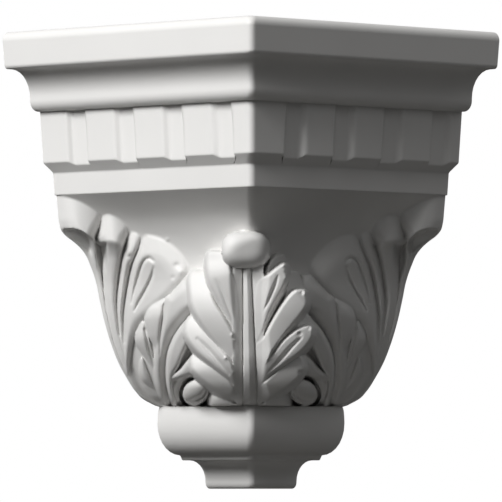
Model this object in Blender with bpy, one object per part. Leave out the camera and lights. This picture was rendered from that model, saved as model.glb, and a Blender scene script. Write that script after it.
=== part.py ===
"""Outside corner moulding: one cast block that turns a carved cornice round a wall corner.

The block fills the corner between two walls and the ceiling. Its two legs meet at a mitre, which
points to -X and -Y. Leg A runs along +X and leg B along +Y, and both are cut square at their ends.
The origin is the middle of the square bed that goes up against the ceiling, and the block hangs
below it. Lengths are in metres.
"""

import bmesh
import bpy
import numpy as np
from math import cos, pi, sin, sqrt
from mathutils import Vector

# Plan: what each leg has behind it, and how far the top stands out from the walls
WALL_LEG = 0.013            # length of each wall face, from the wall's corner to the square cut
FASCIA_OUT = 0.124          # projection of the fascia at the ceiling

# Heights of the members, from the ceiling down
FASCIA_HEIGHT = 0.0145
COVE_HEIGHT = 0.0110
NOSE_HEIGHT = 0.0050
DENTIL_HEIGHT = 0.0200
DENTIL_FOOT_HEIGHT = 0.0037
FILLET_HEIGHT = 0.0088
BAND_HEIGHT = 0.0820
TORUS_HEIGHT = 0.0197
LIST_HEIGHT = 0.0020
FOOT_COVE_HEIGHT = 0.0083
FOOT_HEIGHT = 0.0030

# Projections from the walls
FASCIA_BATTER = 0.0010
FASCIA_TOP_ROUND = 0.0035
FASCIA_FOOT_ROUND = 0.0017
COVE_TOP_OUT = 0.1190
COVE_OUT = 0.1093
NOSE_ROUND = 0.0042
DENTIL_OUT = 0.1039
DENTIL_BATTER = 0.0017
FILLET_OUT = 0.0968
FILLET_BATTER = 0.0008
LEDGE_OUT = 0.0380
SHOULDER_OUT = 0.0384
SHOULDER_DROP = 0.0005      # the torus's shoulder lies this far under the leaves' feet
TORUS_OUT = 0.0396
TORUS_CROWN = 0.0125        # height of the torus's lower quarter round
LIST_OUT = 0.0270
LIST_BATTER = 0.0012
FOOT_COVE_OUT = 0.0215
FOOT_OUT = 0.0128
FOOT_ROUND = 0.0026
ARRIS_ROUND = 0.0024        # radius of the mitre's edge

# Dentils, measured along the face of a leg from the mitre's edge
DENTIL_PITCH = 0.02685
DENTIL_WIDTH = 0.0162
DENTIL_DEPTH = 0.0019
DENTIL_SPLAY = 0.0016       # the side towards the mitre slopes by this much, and the other is square
CORNER_DENTIL_A = 0.0193    # reach of the corner dentil along leg A
CORNER_DENTIL_B = 0.0105    # and along leg B, where the band starts nearer the corner

# Carving: its pattern is drawn in hundredths of the band's height, and cut in steps of this depth
RELIEF_STEP = 0.0010
END_MARGIN = 0.0045         # the pattern blends into the outline of the square cut over this width
END_WEDGE = 0.35            # how steeply a hollow may run in from the square cut

# Fineness of the faceted surface
BAND_ROWS = 48
BAND_COLUMNS = 48
ARC_STEPS = 5

UNIT = BAND_HEIGHT / 100
MEMBERS = (FASCIA_HEIGHT, COVE_HEIGHT, NOSE_HEIGHT, DENTIL_HEIGHT, DENTIL_FOOT_HEIGHT, FILLET_HEIGHT,
           BAND_HEIGHT, TORUS_HEIGHT, LIST_HEIGHT, FOOT_COVE_HEIGHT, FOOT_HEIGHT)
HEIGHT = sum(MEMBERS)
BED_SIDE = WALL_LEG + FASCIA_OUT
BED_CENTRE = BED_SIDE / 2 - WALL_LEG        # from the wall's corner to the middle of the bed
BAND_RISE = FILLET_OUT - FILLET_BATTER - LEDGE_OUT

# The carved band's side view as rows of height, in hundredths of the band, and projection, as a
# share of the way from the ledge on the torus to the foot of the fillet
END_OUTLINE = [(0, .05), (3, .165), (7, .24), (13, .32), (20, .395), (30, .47), (40, .53), (50, .575),
               (60, .615), (67, .665), (72, .71), (75, .755), (78, .82), (80.5, .89), (83, .935),
               (87, .96), (93, .97), (100, .985)]
BELL = [(0, -.01), (3, .095), (7, .17), (13, .255), (20, .33), (30, .41), (40, .47), (50, .505),
        (60, .53), (67, .55), (74, .595), (82, .67), (89, .765), (95, .885), (100, 1.0)]

# Lobes of the leaves, root to tip: distance from the leaf's own line, height and half width, all in
# hundredths, and the crown's height in relief steps. The tips of the corner leaf curl back
CORNER_LEAF = [
    [(5.4, 32, 1.6, 1.2), (8.6, 43, 3.8, 2.3), (12, 52.6, 5.6, 3.0), (14.3, 62, 5.8, 2.6),
     (15.4, 68, 4.4, -1.2)],
    [(6, 18, 2.0, 1.2), (11.4, 28, 4.8, 2.2), (17.4, 38.2, 6.0, 2.9), (22.2, 47, 5.8, 3.0),
     (24, 53, 5.6, 1.4), (24.6, 60, 5.6, -3.2)],
    [(6.4, 9.8, 2.0, 1.2), (12.2, 18.4, 4.4, 2.2), (19, 26, 5.4, 2.9), (25, 32.6, 5.2, 1.9),
     (27, 37, 4.4, -1.4)],
    [(5.4, 1.4, 2.2, 1.2), (11.4, 7.6, 4.4, 2.2), (18, 13.6, 4.8, 2.6), (23.8, 19, 4.0, 1.0)],
]
SIDE_LEAF = [
    [(40.4, -1, 2.0, 1.2), (42.4, 10, 3.4, 2.0), (42.4, 20, 3.8, 2.8), (39.4, 32, 4.8, 4.2),
     (35, 43, 6.0, 5.8), (30.6, 53, 5.4, 6.8), (28, 60, 4.6, 6.0)],
    [(43.4, 26, 1.6, 2.2), (45.6, 34, 3.4, 3.8), (45.6, 42, 4.6, 4.8), (44.4, 45, 4.4, 4.0)],
    [(46.4, 17, 1.2, 1.6), (49.6, 24, 2.6, 2.6), (52.2, 31, 3.2, 3.6), (52.4, 35.6, 3.0, 3.2)],
    [(46.5, 8, 1.2, 1.4), (50, 12.6, 2.4, 2.4), (52, 17.6, 2.2, 2.6)],
]
# Bands that turn back from the corner leaf
FOLDED_BANDS = [
    [(36.2, -1, 1.2, 1.8), (38.2, 7, 1.3, 2.6), (38.4, 14, 1.7, 3.4), (36, 22, 2.4, 4.4),
     (32.6, 29, 3.2, 5.4), (29, 35.4, 3.6, 6.4)],
    [(37.5, 12.8, 1.0, 3.4), (33, 14.8, 2.0, 4.0), (29, 17.4, 3.0, 4.8), (26.6, 20, 3.4, 5.4)],
]
HUSK = [(9, 1.2, 1.4, 1.0), (13, 2.4, 2.6, 1.8), (16.6, 4.4, 2.4, 2.4)]
# The half palmette at the square cut is measured back from the end of the fillet. Each lobe is its
# line, with half widths, and the line on the bell where its tip runs out
END_LEAF = [
    ([(31, 12, 2.6), (25, 30, 3.0), (20.6, 50, 3.4), (16.6, 70, 4.6), (9.5, 83, 13), (9.5, 92, 14.5)],
     [(0, 99.6), (4, 99.2), (10, 97.6), (16, 94.8), (21, 91.6), (24, 89.4), (30, 86)]),
    ([(33, 22, 1.4), (29.2, 38, 2.0), (27.6, 52, 2.8), (27.2, 64, 4.2), (28.2, 76, 5.6), (30, 85, 7.4)],
     [(20, 90), (24, 90.6), (28, 90), (32, 87.6), (35, 84.6), (37, 82)]),
    ([(32.9, 26, 1.2), (31.4, 44, 1.8), (32.8, 58, 2.2), (35.2, 68, 2.8), (38.2, 78, 5.0)],
     [(33, 82), (37, 82), (40, 81.4), (43, 79)]),
    ([(33.6, 20, 1.2), (35, 34, 2.2), (38.8, 45.6, 5.8), (44.4, 55, 9.6), (50.6, 62, 12.8), (53.2, 68, 13.8)],
     [(40, 80.6), (44, 80.6), (48, 80), (52, 78.6), (56, 76), (60, 72.4), (63, 68.6), (66, 63)]),
]
END_TAPER = 0.34            # the palmette's plate thins by this share towards the corner leaf
LEAF_RIM = 1.7              # a lobe falls this many relief steps from its crown to its edge
LEAF_WALL = (1.1, 0.6)      # and then this many a hundredth, and a hundredth squared
# Deep cuts: the valley between the leaves and the notch between the folded bands, with the half
# width in hundredths and the depth in relief steps
VALLEY = [(28, 47, 1.6, 1.0), (31.5, 41, 2.6, 3.0), (35.8, 33.4, 3.0, 3.6), (39, 26.6, 3.0, 3.8),
          (40.8, 20, 2.6, 3.6), (41.2, 13, 2.2, 3.4), (40.2, 6, 1.8, 3.2), (38.4, -2, 1.6, 2.6)]
NOTCH = [(29, 27, 2.0, 2.4), (33, 20, 2.2, 2.6), (36, 15.4, 1.4, 2.0)]
# The corner leaf's face: how far it stands off the bell, its turn and the dip to the rib in the middle
LEAF_LIFT = [(-5, 0.8), (10, 0.8), (25, 1.0), (45, 2.2), (60, 4.2), (70, 5.2)]
LEAF_TURN = 0.41            # relief steps for each hundredth away from the rib
WEB_TURN = 0.80
WEB_WIDTH = 7.6
LEAF_WIDTH = 40             # nothing of the leaf lies further from its rib
RIB_FOOT = 3.2              # half width of the rib at its foot
RIB_TIP = 1.3               # and at its tip
RIB_TOP = 66                # the rib ends at this height
RIB_RISE = 0.8
RIB_FALL = 1.6
RIB_GROOVE = (2.4, 1.4)     # depth and half width of the groove beside the rib
KNOB = (-1.5, 72.4, 11.8, 8.6)              # middle, half width and half height of the curled tip
KNOB_STAND = 6.5            # relief steps from the bell to the knob's edge
KNOB_DOME = 6.0             # and from there to its middle
LIP_LINE = [(2, 83.5), (6, 84.2), (10, 83.8), (14.5, 82), (18.2, 79), (20, 77.5)]
LIP_HOLLOW = 8.0            # depth of the hollow under the end tip
TIP_LINE = 77.5             # the second tip's lip
TIP_HOLLOW = 4.5
BERRY = (26.4, 6.0, 7.0)                    # middle and radius
BERRY_DOME = 6.0
SOCKET_DEPTH = 4.0
SOCKET_EDGE = (8.5, 12.0)   # the socket's wall rises between these distances from the berry's middle
CUP_RADIUS = 9.4
CUP_TOP = 13.6
LEAF_SET_OVER = 1.2                         # the corner leaf stands this much towards leg B
NOTHING = -30.0


def ease(value, low, high):
    """Rises smoothly from 0 at low to 1 at high."""
    share = np.clip((value - low) / (high - low), 0, 1)
    return share * share * (3 - 2 * share)


def soft_max(a, b, blend=0.3):
    """The higher of two surfaces, with the crease between them rounded."""
    share = np.clip(0.5 + 0.5 * (a - b) / blend, 0, 1)
    return b + (a - b) * share + blend * share * (1 - share)


def read_rows(value, rows):
    """Reads a smooth curve through rows of position and height."""
    x, y = np.array(rows, float).T
    slope = np.gradient(y, x)
    value = np.clip(value, x[0], x[-1])
    i = np.clip(np.searchsorted(x, value, side="right") - 1, 0, len(x) - 2)
    step = x[i + 1] - x[i]
    t = (value - x[i]) / step
    return ((1 + 2 * t) * (1 - t) ** 2 * y[i] + t * (1 - t) ** 2 * step * slope[i]
            + t * t * (3 - 2 * t) * y[i + 1] + t * t * (t - 1) * step * slope[i + 1])


def smooth_line(points, samples=8):
    """A smooth line through a few points. Its further columns run smoothly too."""
    p = np.array([points[0], *points, points[-1]], float)
    line = []
    for a, b, c, d in zip(p, p[1:], p[2:], p[3:]):
        for t in np.linspace(0, 1, samples, endpoint=False):
            line.append(0.5 * (2 * b + (c - a) * t + (2 * a - 5 * b + 4 * c - d) * t ** 2
                               + (3 * b - a - 3 * c + d) * t ** 3))
    line.append(p[-1])
    return np.array(line)


def measure(u, v, points):
    """Distance from each place to a smooth line, and the line's further columns there."""
    line = smooth_line(points)
    best = np.full(u.shape, np.inf)
    columns = [np.zeros(u.shape) for _ in points[0][2:]]
    for a, b in zip(line[:-1], line[1:]):
        run = b[:2] - a[:2]
        t = np.clip(((u - a[0]) * run[0] + (v - a[1]) * run[1]) / max(float(run @ run), 1e-9), 0, 1)
        distance = np.hypot(u - a[0] - t * run[0], v - a[1] - t * run[1])
        near = distance < best
        best = np.where(near, distance, best)
        for k, column in enumerate(columns):
            columns[k] = np.where(near, a[2 + k] + t * (b[2 + k] - a[2 + k]), column)
    return best, columns


def blade(u, v, spine):
    """A lobe: a domed strip with a height of its own along its line, which falls away steeply outside."""
    distance, (width, crown) = measure(u, v, spine)
    share = np.clip(distance / width, 0, 1)
    out = np.clip(distance - width, 0, None)
    return crown - LEAF_RIM * share ** 2.2 - LEAF_WALL[0] * out - LEAF_WALL[1] * out ** 2


def cut(u, v, spine):
    """The depth of a rounded cut along a line."""
    distance, (width, depth) = measure(u, v, spine)
    return depth * np.exp(-(distance / width) ** 2)


def lobes(u, v, leaf):
    height = np.full(u.shape, NOTHING)
    for spine in leaf:
        height = soft_max(height, blade(u, v, spine))
    return height


def corner_leaf(u, v):
    """The leaf on the corner: its halves look almost straight out, and its middle dips to the rib."""
    lift = read_rows(v, LEAF_LIFT)
    height = lobes(u, v, CORNER_LEAF) + lift + LEAF_TURN * u
    web = lift + LEAF_TURN * WEB_WIDTH + np.minimum(WEB_TURN * (u - WEB_WIDTH), 0)
    height = np.minimum(height, web + 1 + 2 * np.clip(u - WEB_WIDTH, 0, None))
    in_web = (v < RIB_TOP) & (u < WEB_WIDTH)
    height = np.where(in_web, np.maximum(height, web), height)
    rib_width = RIB_TIP + (RIB_FOOT - RIB_TIP) * np.clip(1 - v / RIB_TOP, 0, 1)
    rib = lift + RIB_RISE - RIB_FALL * (u / rib_width) ** 2
    height = np.where(in_web & (u < rib_width), np.maximum(height, rib), height)
    groove_depth, groove_width = RIB_GROOVE
    beside = (u - rib_width) / groove_width - 0.5
    height = height - np.where(in_web, groove_depth * np.exp(-beside ** 2), 0)
    return np.where(u < LEAF_WIDTH, height, NOTHING)


def bell_out(v):
    """The bell's projection from the wall at a height in the band."""
    return LEDGE_OUT + BAND_RISE * read_rows(v, BELL)


def outline_out(v):
    """The square cut's projection from the wall at a height in the band."""
    return LEDGE_OUT + BAND_RISE * read_rows(v, END_OUTLINE)


def end_leaf(e, v):
    """The half palmette, whose tips stand upright off the bell and curl over hollows."""
    bell = bell_out(v)
    plate = (outline_out(v) - bell) / RELIEF_STEP * (1 - END_TAPER * ease(e, 5, 62))
    height = np.full(e.shape, NOTHING)
    for spine, tip_line in END_LEAF:
        upright = (bell_out(read_rows(e, tip_line)) - bell) / RELIEF_STEP
        body = -soft_max(-plate, -upright, 1.6)
        distance, (width,) = measure(e, v, spine)
        share = np.clip(distance / width, 0, 1)
        out = np.clip(distance - width, 0, None)
        lobe = body + 0.5 - LEAF_RIM * share ** 4 - LEAF_WALL[0] * out - LEAF_WALL[1] * out ** 2
        height = soft_max(height, lobe, 0.5)
    under_lip = read_rows(e, LIP_LINE) - v
    hollow = ease(under_lip, 0, 1.5) * (1 - ease(under_lip, 2, 13))
    height = height - LIP_HOLLOW * hollow * ease(e, 2.2, 6) * (1 - ease(e, 15.5, 19))
    under_tip = TIP_LINE - v
    small_hollow = ease(under_tip, 0, 1.5) * (1 - ease(under_tip, 2, 16))
    return height - TIP_HOLLOW * small_hollow * ease(e, 19.5, 21) * (1 - ease(e, 24.2, 25.6))


def rolled_tip(x, v):
    """The tip of the corner leaf rolls forward into a knob that looks straight out."""
    middle, level, half_width, half_height = KNOB
    dome = 1 - np.abs((x / UNIT - middle) / half_width) ** 2.6 - np.abs((v - level) / half_height) ** 2.6
    return np.where(dome > 0, KNOB_STAND + KNOB_DOME * np.sqrt(np.clip(dome, 0, 1)), NOTHING)


def rounded_arris(x):
    """What the rounding takes off the projection next to the mitre's edge."""
    x = np.abs(x)
    round_top = np.sqrt(np.clip(ARRIS_ROUND ** 2 - x ** 2, 0, None))
    return np.where(x < ARRIS_ROUND / sqrt(2), (round_top + x) / sqrt(2) - ARRIS_ROUND, 0)


def carved_projection(x, v):
    """Projection from the wall at a place of the front view.

    x is the distance from the mitre as seen from straight in front, negative on leg B, and v is the
    height in the band in hundredths.
    """
    bell = bell_out(v)
    outline = outline_out(v)
    u = np.abs(x / UNIT + LEAF_SET_OVER * (1 - np.abs(x) * sqrt(2) / (WALL_LEG + outline)))
    e = (WALL_LEG + FILLET_OUT - FILLET_BATTER) / sqrt(2) / UNIT - u
    height = soft_max(np.zeros(u.shape), end_leaf(e, v), 0.8)
    height = soft_max(height, lobes(u, v, SIDE_LEAF))
    height = height - cut(u, v, VALLEY) - cut(u, v, NOTCH)
    berry_u, berry_v, berry_radius = BERRY
    from_berry = np.hypot(u - berry_u - 0.3, v - berry_v)
    height = height - SOCKET_DEPTH * (1 - ease(from_berry, *SOCKET_EDGE)) * ease(u, 14, 19)
    cup = (from_berry < CUP_RADIUS) & (v < CUP_TOP)
    height = np.where(cup, np.minimum(height, -SOCKET_DEPTH), height)
    height = soft_max(height, lobes(u, v, FOLDED_BANDS))
    inside = 1 - ((u - berry_u) ** 2 + (v - berry_v) ** 2) / berry_radius ** 2
    berry = np.where(inside > 0, BERRY_DOME * np.sqrt(np.clip(inside, 0, 1)) - 0.5, NOTHING)
    height = np.maximum(height, berry)
    height = np.maximum(height, blade(u, v, HUSK))
    height = np.maximum(height, corner_leaf(u, v))
    projection = bell + RELIEF_STEP * np.maximum(height, -5.0)
    projection = projection + np.where(height > 0.5, 0, rounded_arris(x))
    knob = rolled_tip(x, v)
    knob_foot = bell_out(np.full(v.shape, KNOB[1]))
    knob_out = np.where(knob > 0, knob_foot + RELIEF_STEP * knob + np.abs(x) / sqrt(2), 0)
    projection = np.maximum(projection, knob_out)
    to_end = (WALL_LEG + outline) / sqrt(2) - np.abs(x)
    share = 1 - ease(to_end, 0, END_MARGIN)
    projection = projection + share * (outline - projection)
    return np.maximum(projection, sqrt(2) * np.abs(x) - WALL_LEG + END_WEDGE * to_end)


def quarter(start, end, hollow):
    """Points of a quarter ellipse from start to end, both (projection, height), without its start.

    It leaves its start level and comes to its end upright, or the other way round when hollow is False.
    """
    (p0, z0), (p1, z1) = start, end
    points = []
    for k in range(1, ARC_STEPS + 1):
        angle = pi / 2 * k / ARC_STEPS
        if hollow:
            points.append((p0 + (p1 - p0) * sin(angle), z0 + (z1 - z0) * (1 - cos(angle))))
        else:
            points.append((p0 + (p1 - p0) * (1 - cos(angle)), z0 + (z1 - z0) * sin(angle)))
    return points


def upper_profile():
    """From the ceiling to the soffit over the dentils, as (projection, height)."""
    z = 0.0
    points = [(FASCIA_OUT - FASCIA_TOP_ROUND, z)]
    points += quarter(points[-1], (FASCIA_OUT, z - FASCIA_TOP_ROUND), True)
    z -= FASCIA_HEIGHT
    face = FASCIA_OUT - FASCIA_BATTER
    points.append((face, z + FASCIA_FOOT_ROUND))
    points += quarter(points[-1], (face - FASCIA_FOOT_ROUND, z), False)
    points.append((COVE_TOP_OUT, z))
    z -= COVE_HEIGHT
    points += quarter(points[-1], (COVE_OUT, z), True)
    z -= NOSE_HEIGHT
    points.append((COVE_OUT, z + NOSE_ROUND))
    points += quarter(points[-1], (COVE_OUT - NOSE_ROUND, z), False)
    return points


def lower_profile(top):
    """From the ledge on the torus, at height top, to the foot."""
    z = top - TORUS_HEIGHT
    points = [(SHOULDER_OUT, top - SHOULDER_DROP)]
    points += quarter(points[-1], (TORUS_OUT, z + TORUS_CROWN), True)
    points += quarter(points[-1], (LIST_OUT, z), False)
    z -= LIST_HEIGHT
    points.append((LIST_OUT - LIST_BATTER, z))
    points.append((FOOT_COVE_OUT, z))
    z -= FOOT_COVE_HEIGHT
    points += quarter(points[-1], (FOOT_OUT, z), True)
    points.append((FOOT_OUT, -HEIGHT + FOOT_ROUND))
    points += quarter(points[-1], (FOOT_OUT - FOOT_ROUND, -HEIGHT), False)
    return points


def place(leg, along, out, height):
    """A point of leg A or B, by its place along the wall and its projection from it."""
    wall = BED_CENTRE
    if leg == "A":
        return Vector((wall + along, wall - out, height))
    return Vector((wall - out, wall + along, height))


def mitre_edge(bm, out, height):
    """The rounded edge of the mitre: a point on leg B, one on the mitre and one on leg A."""
    near = [bm.verts.new(place(leg, ARRIS_ROUND - out, out, height)) for leg in "BA"]
    middle = out - ARRIS_ROUND * (1 - sqrt(0.5))
    return near[0], bm.verts.new(place("A", -middle, middle, height)), near[1]


def plain_row(bm, out, height):
    """A row of a plain member: the end of leg B, the mitre's edge and the end of leg A."""
    near_b, mitre, near_a = mitre_edge(bm, out, height)
    return [[near_b, bm.verts.new(place("B", WALL_LEG, out, height))],
            mitre,
            [near_a, bm.verts.new(place("A", WALL_LEG, out, height))]]


def side_of(row, leg):
    """A row's points on one leg, from the mitre to its end."""
    inner, mitre, outer = row
    return [mitre, *(outer if leg == "A" else inner)]


def fill(bm, upper, lower):
    """One flat face on each leg between two rows."""
    for leg in "AB":
        loop = side_of(upper, leg) + side_of(lower, leg)[::-1]
        bm.faces.new(loop)


def fan(bm, many, few):
    """Triangles on each leg between a row of many points and a plain row."""
    for leg in "AB":
        points, ends = side_of(many, leg), side_of(few, leg)
        k = 0
        for a, b in zip(points, points[1:]):
            while k + 1 < len(ends) and (a.co - ends[k + 1].co).length < (a.co - ends[k].co).length:
                bm.faces.new((a, ends[k + 1], ends[k]))
                k += 1
            bm.faces.new((a, b, ends[k]))
        for near, far in zip(ends[k:], ends[k + 1:]):
            bm.faces.new((points[-1], far, near))


def quads(bm, upper, lower):
    """Four-sided faces on each leg between two rows with equal numbers of points."""
    for leg in "AB":
        a, b = side_of(upper, leg), side_of(lower, leg)
        for k in range(len(a) - 1):
            bm.faces.new((a[k], a[k + 1], b[k + 1], b[k]))


def dentil_steps(reach):
    """Places along a leg where the band steps between the dentils' front and the ground behind.

    Each is the place along the wall and True on the front.
    """
    mean_out = DENTIL_OUT - DENTIL_BATTER / 2
    steps = []
    edge = reach - mean_out
    while edge < WALL_LEG - DENTIL_SPLAY:
        steps += [(edge, True), (edge, False)]
        front = edge + DENTIL_PITCH - DENTIL_WIDTH
        steps += [(front - DENTIL_SPLAY, False), (front, True)]
        edge += DENTIL_PITCH
    steps = [(along, front) for along, front in steps if along < WALL_LEG]
    return steps + [(WALL_LEG, steps[-1][1])]


def dentil_row(bm, out, height, ground_height):
    """The stepped row at the dentils' top or foot."""
    near_b, mitre, near_a = mitre_edge(bm, out, height)
    ends = {"A": [near_a], "B": [near_b]}
    for leg, reach in (("A", CORNER_DENTIL_A), ("B", CORNER_DENTIL_B)):
        ends[leg] += [bm.verts.new(place(leg, along, out if front else out - DENTIL_DEPTH,
                                         height if front else ground_height))
                      for along, front in dentil_steps(reach)]
    return [ends["B"], mitre, ends["A"]]


def softened_projection(x, v):
    """The carving's projection, averaged over the cells of the net, so that it shows no steps."""
    half_row = 50 / BAND_ROWS
    half_column = (x[-1] - x[0]) / BAND_COLUMNS / 4
    total = np.zeros(x.shape)
    for dx, x_weight in ((-1, 0.25), (0, 0.5), (1, 0.25)):
        for dv, v_weight in ((-1, 0.25), (0, 0.5), (1, 0.25)):
            total += x_weight * v_weight * carved_projection(x + dx * half_column, v + dv * half_row)
    return total


def carved_rows(bm, top):
    """The carved band as a fine net of points, from under the fillet to the ledge on the torus."""
    levels = np.linspace(100, 0, BAND_ROWS + 1)
    rows = []
    for v in levels:
        outline = float(outline_out(np.array([v]))[0])
        end = (WALL_LEG + outline) / sqrt(2)
        x = np.linspace(-end, end, 2 * BAND_COLUMNS + 1)
        out = softened_projection(x, np.full(x.shape, v))
        out[[0, -1]] = outline
        height = top - (100 - v) * UNIT
        verts = []
        for d, p in zip(x.tolist(), out.tolist()):
            leg = "B" if d < 0 else "A"
            verts.append(bm.verts.new(place(leg, sqrt(2) * abs(d) - p, p, height)))
        rows.append([verts[:BAND_COLUMNS][::-1], verts[BAND_COLUMNS], verts[BAND_COLUMNS + 1:]])
    return rows


def end_cap(bm, leg, rows):
    """The square cut of a leg: its profile closed by the wall's line."""
    profile = [side_of(row, leg)[-1] for row in rows]
    foot = bm.verts.new(place(leg, WALL_LEG, 0, -HEIGHT))
    head = bm.verts.new(place(leg, WALL_LEG, 0, 0))
    bm.faces.new([*profile, foot, head])
    return foot, head


def build_moulding():
    bm = bmesh.new()
    rows = [plain_row(bm, out, height) for out, height in upper_profile()]
    for upper, lower in zip(rows, rows[1:]):
        quads(bm, upper, lower)

    top = -(FASCIA_HEIGHT + COVE_HEIGHT + NOSE_HEIGHT)
    foot = top - DENTIL_HEIGHT
    front_foot = DENTIL_OUT - DENTIL_BATTER
    slope = DENTIL_FOOT_HEIGHT / (front_foot - FILLET_OUT)
    heads = dentil_row(bm, DENTIL_OUT, top, top)
    feet = dentil_row(bm, front_foot, foot, foot - slope * DENTIL_DEPTH)
    fillet = [plain_row(bm, FILLET_OUT, foot - DENTIL_FOOT_HEIGHT)]
    fill(bm, rows[-1], heads)
    quads(bm, heads, feet)
    fill(bm, feet, fillet[0])

    band_top = foot - DENTIL_FOOT_HEIGHT - FILLET_HEIGHT
    net = carved_rows(bm, band_top)
    fillet.append(plain_row(bm, FILLET_OUT - FILLET_BATTER, band_top + FILLET_HEIGHT / 8))
    quads(bm, *fillet)
    fan(bm, net[0], fillet[1])
    for upper, lower in zip(net, net[1:]):
        quads(bm, upper, lower)

    ledge_top = band_top - BAND_HEIGHT
    lower_rows = [plain_row(bm, out, height) for out, height in lower_profile(ledge_top)]
    fan(bm, net[-1], lower_rows[0])
    for upper, lower in zip(lower_rows, lower_rows[1:]):
        quads(bm, upper, lower)

    every = rows + [heads, feet] + fillet + net + lower_rows
    corners = {leg: end_cap(bm, leg, every) for leg in "AB"}
    wall_foot = bm.verts.new(place("A", 0, 0, -HEIGHT))
    wall_head = bm.verts.new(place("A", 0, 0, 0))
    for leg in "AB":
        bm.faces.new((corners[leg][0], corners[leg][1], wall_head, wall_foot))
    for row, corner, k in ((rows[0], wall_head, 1), (lower_rows[-1], wall_foot, 0)):
        inner, mitre, outer = row
        bm.faces.new((mitre, *outer, corners["A"][k], corner, corners["B"][k], *inner[::-1]))

    bmesh.ops.recalc_face_normals(bm, faces=bm.faces)
    bmesh.ops.triangulate(bm, faces=bm.faces, quad_method="BEAUTY", ngon_method="BEAUTY")
    mesh = bpy.data.meshes.new("outside_corner_moulding")
    bm.to_mesh(mesh)
    bm.free()
    return mesh


def primed_white():
    """Factory-primed white of a cast polyurethane moulding."""
    material = bpy.data.materials.new("primed_white")
    material.use_nodes = True
    shader = material.node_tree.nodes["Principled BSDF"]
    shader.inputs["Base Color"].default_value = (0.80, 0.80, 0.79, 1.0)
    shader.inputs["Roughness"].default_value = 0.55
    shader.inputs["Metallic"].default_value = 0.0
    return material


def main():
    for item in list(bpy.data.objects):
        bpy.data.objects.remove(item, do_unlink=True)
    moulding = bpy.data.objects.new("outside_corner_moulding", build_moulding())
    bpy.context.scene.collection.objects.link(moulding)
    moulding.data.materials.append(primed_white())
    moulding.data.shade_smooth()
    moulding.data.set_sharp_from_angle(angle=0.75)


main()
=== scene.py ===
import bmesh
import bpy
import numpy as np
from math import cos, pi, radians, sin, sqrt
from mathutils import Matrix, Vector


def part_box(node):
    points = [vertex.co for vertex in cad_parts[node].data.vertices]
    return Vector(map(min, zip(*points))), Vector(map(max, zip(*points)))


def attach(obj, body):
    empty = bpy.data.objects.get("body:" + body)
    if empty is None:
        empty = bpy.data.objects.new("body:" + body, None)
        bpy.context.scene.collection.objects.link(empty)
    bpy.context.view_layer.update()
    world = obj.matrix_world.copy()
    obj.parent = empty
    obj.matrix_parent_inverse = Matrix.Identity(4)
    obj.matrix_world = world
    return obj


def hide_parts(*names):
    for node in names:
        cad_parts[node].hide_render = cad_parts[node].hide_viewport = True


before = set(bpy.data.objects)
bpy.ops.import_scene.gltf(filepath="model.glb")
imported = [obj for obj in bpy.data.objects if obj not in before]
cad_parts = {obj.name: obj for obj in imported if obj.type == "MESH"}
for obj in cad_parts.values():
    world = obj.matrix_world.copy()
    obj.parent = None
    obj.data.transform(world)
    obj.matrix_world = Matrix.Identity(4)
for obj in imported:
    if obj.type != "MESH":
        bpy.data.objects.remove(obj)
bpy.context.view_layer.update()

# The frame gives the block's size: its height, and the length of each side of its bed
LOW, HIGH = (np.array(corner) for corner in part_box("outside_corner_moulding"))
MM = 0.001
HEIGHT = (HIGH[2] - LOW[2]) / MM
WALL_LEG = 13.0             # each wall face, from the wall's corner to the square cut
WALL = HIGH[0] / MM - WALL_LEG      # the wall's corner lies this far from the origin, in X and in Y
FASCIA_OUT = WALL - LOW[0] / MM     # the fascia's projection from the walls

# Heights of the members from the ceiling down, in millimetres
FASCIA_HEIGHT = 14.5
COVE_HEIGHT = 11.0
NOSE_HEIGHT = 5.0
DENTIL_HEIGHT = 20.0
DENTIL_FOOT_HEIGHT = 3.7
FILLET_HEIGHT = 8.8
BAND_HEIGHT = 82.0
TORUS_HEIGHT = 19.7
LIST_HEIGHT = 2.0
FOOT_COVE_HEIGHT = 8.3

# Projections from the walls
FASCIA_BATTER = 1.0
FASCIA_TOP_ROUND = 3.5
FASCIA_FOOT_ROUND = 1.7
COVE_TOP_OUT = 119.0
COVE_OUT = 109.3
NOSE_ROUND = 4.2
DENTIL_OUT = 103.9
DENTIL_BATTER = 1.7
FILLET_OUT = 96.8
FILLET_BATTER = 0.8
SHOULDER_OUT = 38.4
SHOULDER_DROP = 0.5
TORUS_OUT = 39.6
TORUS_CROWN = 12.5
LIST_OUT = 27.0
LIST_BATTER = 1.2
FOOT_COVE_OUT = 21.5
FOOT_OUT = 12.8
FOOT_ROUND = 2.6
EDGE_ROUND = 0.5            # every other edge is as soft as a mould leaves it
EDGE_SHARE = 0.4            # but takes no more than this share of the faces beside it
ARRIS_ROUND = 2.4           # the mitre's edge is rounder
CURVE_TURN = 25             # a profile that turns by fewer degrees than this runs round a curve

# Dentils, measured along the face of a leg from the mitre's edge
DENTIL_PITCH = 26.85
DENTIL_WIDTH = 16.2
DENTIL_DEPTH = 1.9
DENTIL_SPLAY = 1.6          # the gaps' sides slant by this much
CORNER_DENTIL_A = 19.3      # the dentil on the corner reaches this far along each leg
CORNER_DENTIL_B = 10.5

# The net of points over the block's face
COLUMNS = 344
BAND_ROWS = 186
ARC_STEPS = 7
LONG_FLAT = 3.0             # a flat longer than this shades flat,
HOLD = 0.3                  # because a row lies this close to each of its ends
HOLD_BATTER = 0.02          # how far the dentils' faces lean back over that stretch
MERGE_REACH = 1e-6          # in metres, as is how exactly a point has to lie on a flat face
ON_FACE = 1e-7
SHORTEST = 1e-9             # keeps a stretch of no length from dividing by zero
SHARP_DEGREES = 50          # faces that meet at more than this shade as an edge

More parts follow.
